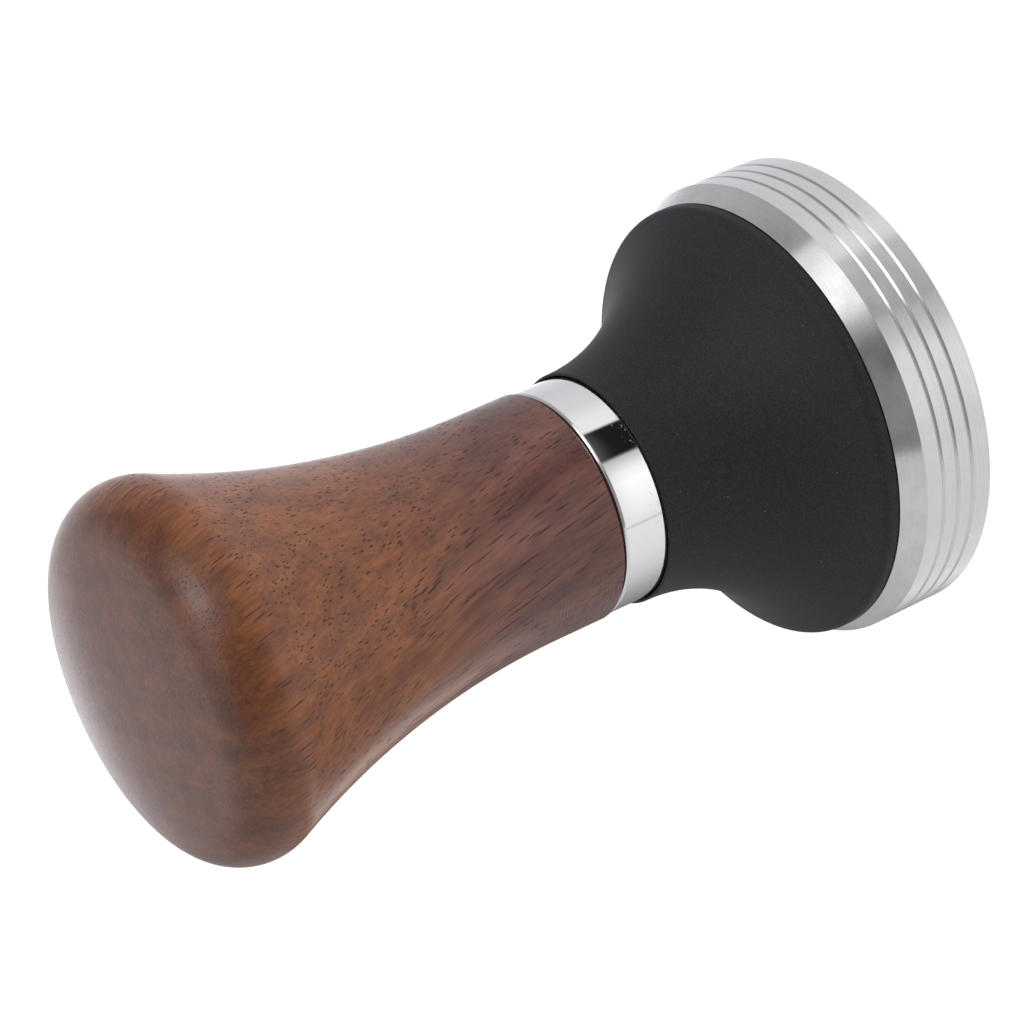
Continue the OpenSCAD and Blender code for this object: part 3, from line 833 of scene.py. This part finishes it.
# %% Inner finishes
def plain_finish(name, dark, light, scale, **sockets):
    """A finish whose colour wavers between two tones at a pattern size of 1 / scale mm."""
    material, tree, shader = finish(name, **sockets)
    mm = millimetres(tree)
    noise = add(tree, "ShaderNodeTexNoise", {"Vector": mm}, {"Scale": scale, "Detail": 3.0})
    tree.links.new(ramp(tree, noise.outputs["Fac"], [(0.35, linear(dark)), (0.65, linear(light))]),
                   shader.inputs["Base Color"])
    bump = add(tree, "ShaderNodeBump", {"Height": noise.outputs["Fac"]},
               {"Strength": 0.15, "Distance": 0.03 * MM})
    tree.links.new(bump.outputs["Normal"], shader.inputs["Normal"])
    return material


zinc = plain_finish("zinc_plated_steel", "#a9abae", "#c3c4c4", 1.2, Metallic=1.0, Roughness=0.32)
wire = plain_finish("drawn_spring_wire", "#8f9093", "#a9aaab", 4.0, Metallic=1.0, Roughness=0.28)
brass = plain_finish("turned_brass", "#a8873f", "#c4a255", 1.5, Metallic=1.0, Roughness=0.3)
acetal = plain_finish("natural_acetal", "#dedbd0", "#eceae2", 0.8, Roughness=0.4)
rubber = plain_finish("black_nitrile_rubber", "#161616", "#222222", 3.0, Roughness=0.7)
finishes = [stainless, coat, chrome, walnut, zinc, wire, brass, acetal, rubber]
print("finishes:", [material.name for material in finishes])

# %% [markdown]
# ## Putting the pieces on the frame
# Every new piece stands for a CAD node, rides on that node's body and takes one material.
# The rings and washers keep their CAD shape and only take a finish.

# %% Ride, replace, paint
def dress(piece, node, body, material):
    """One material, one body, one replaced node, one slot."""
    piece.data.materials.clear()
    piece.data.materials.append(material)
    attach(piece, body)
    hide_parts(node)


dress(puck, "tamping_base", "base_unit", stainless)
dress(housing, "housing", "base_unit", coat)
dress(post, "guide_post", "base_unit", zinc)
dress(screw, "stop_screw", "base_unit", zinc)
dress(spring, "main_spring", "base_unit", wire)
dress(sleeve, "plunger_sleeve", "handle_unit", chrome)
dress(insert, "thread_insert", "handle_unit", brass)
dress(handle, "wooden_handle", "handle_unit", walnut)

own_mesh(spring)

slot_finish = {"plain_steel": zinc, "black_rubber": rubber, "white_acetal": acetal}
slot_of = {p["node"]: p["material_slot"] for p in frame["record"]["subparts"]}
for name, node in frame["nodes"].items():
    if slot_of[name] in slot_finish and not node.hide_render:
        node.data.materials.clear()
        node.data.materials.append(slot_finish[slot_of[name]])

# %% [markdown]
# ## Studio
# A white sweep and a light tent, with a dark gap where the camera stands. Metal shows what
# surrounds it, so the tent has bright and dark panels: they make the bands on the chrome and
# the sectors on the turned steel. The sweep doesn't hide the tent from mirror reflections, so
# the tamper looks as if it hung in the tent. The panels themselves are never in the picture: the
# camera sees a plain white ball in their place, which gives no light and takes none.

# %% Floor and surround
FLOOR_HALF = 2500.0
FLOOR_GREY, FLOOR_GLOW = 0.2, 0.88
SURROUND_R = 3600.0


def plain_floor():
    """A white sweep, flat and wide. It glows a little, so that it stays white in the shade."""
    material, _, shader = finish("white_sweep", Roughness=0.9)
    shader.inputs["Base Color"].default_value = grey(FLOOR_GREY)
    shader.inputs["Emission Color"].default_value = grey(1.0)
    shader.inputs["Emission Strength"].default_value = FLOOR_GLOW
    corners = FLOOR_HALF * np.array([[-1, -1, 0], [1, -1, 0], [1, 1, 0], [-1, 1, 0]])
    floor = surface("floor", corners, [[0, 1, 2, 3]])
    floor.data.materials.append(material)
    floor.visible_glossy = False


def white_surround():
    """A white ball round everything. Only the camera sees it."""
    material = bpy.data.materials.new("white_cloth")
    material.use_nodes = True
    tree = material.node_tree
    glow = add(tree, "ShaderNodeEmission", values={"Color": (1, 1, 1, 1), "Strength": 1.0})
    tree.links.new(glow.outputs[0], tree.nodes["Material Output"].inputs["Surface"])
    ball = turned("white_surround", [arc(0, 0, SURROUND_R, -90, 90, 32)], around=64)
    ball.data.materials.append(material)
    for ray in ("diffuse", "glossy", "transmission", "volume_scatter", "shadow"):
        setattr(ball, "visible_" + ray, False)


plain_floor()
white_surround()

# %% [markdown]
# The tent's light depends on the direction. The azimuth is measured from the camera's side,
# positive towards +X, and each row of panels is a list of (azimuth, brightness). From the bottom
# up the rows are called deep, ground, low, level, high, lamp and top, and each one blends into
# the row below it between two heights of the direction. In the low row a narrow black panel
# stands to one side of the camera. In the high row a large soft panel stands over it, with a lamp
# over that, and the gap round the camera is dark. The panels lean back, so their edges spread
# with height. The back of the tent is slightly blue.

# %% Light tent
ROWS = [
    ("deep", None, [
        (-180, 0.6), (-150, 0.32), (-100, 0.38), (-60, 0.7), (-20, 1.05), (10, 0.75), (60, 1.0),
        (130, 0.85), (180, 0.6)]),
    ("ground", (-0.63, -0.58), [
        (-180, 0.6), (-166, 0.66), (-156, 1.3), (-142, 1.65), (-110, 1.6), (-60, 1.25),
        (-10, 1.62), (0, 1.45), (10, 0.75), (22, 0.6), (34, 0.82), (48, 1.02), (60, 1.15),
        (90, 0.95), (130, 1.0), (166, 0.9), (180, 0.6)]),
    ("low", (-0.56, -0.515), [
        (-180, 2.2), (-178, 0.22), (-150, 0.27), (-124, 0.45), (-100, 0.72), (-76, 0.88),
        (-49, 0.93), (-47.5, 0.6), (-46, 0.95), (-26, 1.12), (-6, 1.25), (4, 1.1), (17, 0.62),
        (20, 0.014), (50.5, 0.014), (53, 1.0), (66, 0.98), (84, 0.8), (122, 0.72), (150, 0.86),
        (160, 1.0), (168, 2.0), (180, 2.2)]),
    ("level", (-0.42, -0.36), [
        (-180, 2.0), (-168, 0.5), (-140, 0.5), (-120, 0.62), (-46, 0.8), (-40, 0.3), (0, 0.3),
        (20, 0.4), (52, 0.9), (63, 0.9), (66, 0.5), (90, 0.5), (144, 0.62), (158, 1.2),
        (180, 2.0)]),
    ("high", (0.08, 0.2), [
        (-180, 0.95), (-150, 0.65), (-130, 0.5), (-110, 0.74), (-50, 0.72), (-45, 0.66),
        (-43, 0.24), (-16, 0.3), (-4, 0.16), (8, 0.14), (20, 0.6), (32, 1.2), (46, 1.28),
        (60, 1.05), (63, 0.95), (65.5, 0.26), (90, 0.34), (126, 0.42), (150, 0.7), (180, 0.95)]),
    ("lamp", (0.45, 0.6), [
        (-180, 1.5), (-130, 1.1), (-60, 0.75), (-54, 0.66), (-50, 0.3), (4, 0.3), (19, 0.5),
        (27, 3.8), (34, 4.6), (46, 3.6), (58, 1.6), (64, 0.95), (67, 0.35), (100, 0.5),
        (140, 1.3), (180, 1.5)]),
    ("top", (0.84, 0.95), [
        (-180, 1.2), (-60, 0.9), (-25, 0.9), (0, 1.2), (40, 1.9), (75, 1.0), (180, 1.2)]),
]
LEAN_FROM, LEAN_TO, LEAN = 0.34, 0.85, 0.27
SKY = (0.985, 0.99, 1.035, 1)


def leaning_azimuth(tree, direction):
    """Azimuth from -Y as 0 to 1, less k sin(azimuth), where k grows with height up to LEAN."""
    toward = add(tree, "ShaderNodeMath", {0: direction["Y"]}, {1: -1.0}, operation="MULTIPLY")
    angle = add(tree, "ShaderNodeMath", {0: direction["X"], 1: toward.outputs[0]},
                operation="ARCTAN2")
    lean = add(tree, "ShaderNodeMapRange", {"Value": direction["Z"]},
               {"From Min": LEAN_FROM, "From Max": LEAN_TO, "To Min": 0.0, "To Max": LEAN})
    sideways = add(tree, "ShaderNodeMath", {0: angle.outputs[0]}, operation="SINE")
    spread = add(tree, "ShaderNodeMath", {0: lean.outputs["Result"], 1: sideways.outputs[0]},
                 operation="MULTIPLY")
    leaning = add(tree, "ShaderNodeMath", {0: angle.outputs[0], 1: spread.outputs[0]},
                  operation="SUBTRACT")
    return add(tree, "ShaderNodeMapRange", {"Value": leaning.outputs[0]},
               {"From Min": -math.pi, "From Max": math.pi}).outputs["Result"]


def light_tent():
    """The world's light: rows of panels by azimuth, each blended into the row below it."""
    world = bpy.data.worlds.new("light_tent")
    bpy.context.scene.world = world
    world.use_nodes = True
    tree = world.node_tree
    place = add(tree, "ShaderNodeTexCoord")
    direction = add(tree, "ShaderNodeSeparateXYZ", {0: place.outputs["Generated"]}).outputs
    turn = leaning_azimuth(tree, direction)
    light = None
    for _, heights, stops in ROWS:
        row = ramp(tree, turn, [((azimuth + 180) / 360, grey(value)) for azimuth, value in stops])
        if heights is None:
            light = row
            continue
        share = add(tree, "ShaderNodeMapRange", {"Value": direction["Z"]},
                    {"From Min": heights[0], "From Max": heights[1]},
                    interpolation_type="SMOOTHSTEP").outputs["Result"]
        light = add(tree, "ShaderNodeMix", {0: share, 6: light, 7: row},
                    data_type="RGBA").outputs[2]
    tint = ramp(tree, turn, [(0.0, SKY), (0.1, grey(1.0)), (0.75, grey(1.0)), (0.85, SKY)])
    tree.links.new(times(tree, light, tint), tree.nodes["Background"].inputs["Color"])
    print("tent rows, from the bottom:", [name for name, _, _ in ROWS])


light_tent()

# %% Camera
# The camera looks down at the standing tamper and is rolled over, so that the tamper lies
# across the picture with its handle towards the lower left.
CAMERA_AT = (1.468, -414.9, 270.8)
LOOK_DOWN = math.radians(28.206)
ROLL = math.radians(114.12)
LENS, SENSOR = 141.0, 36.0


def camera():
    """A camera with its three axes worked out from the tilt and the roll."""
    data = bpy.data.cameras.new("camera")
    data.lens, data.sensor_width = LENS, SENSOR
    data.clip_start, data.clip_end = 0.01, 20
    made = bpy.data.objects.new("camera", data)
    bpy.context.scene.collection.objects.link(made)
    forward = Vector((0, math.cos(LOOK_DOWN), -math.sin(LOOK_DOWN)))
    level_up = Vector((0, math.sin(LOOK_DOWN), math.cos(LOOK_DOWN)))
    level_right = forward.cross(level_up)
    up = level_up * math.cos(ROLL) + level_right * math.sin(ROLL)
    right = forward.cross(up)
    turn = Matrix((right, up, -forward)).transposed()
    made.matrix_world = Matrix.Translation(Vector(CAMERA_AT) * MM) @ turn.to_4x4()
    bpy.context.scene.camera = made


camera()
bpy.context.scene.view_settings.view_transform = "Standard"
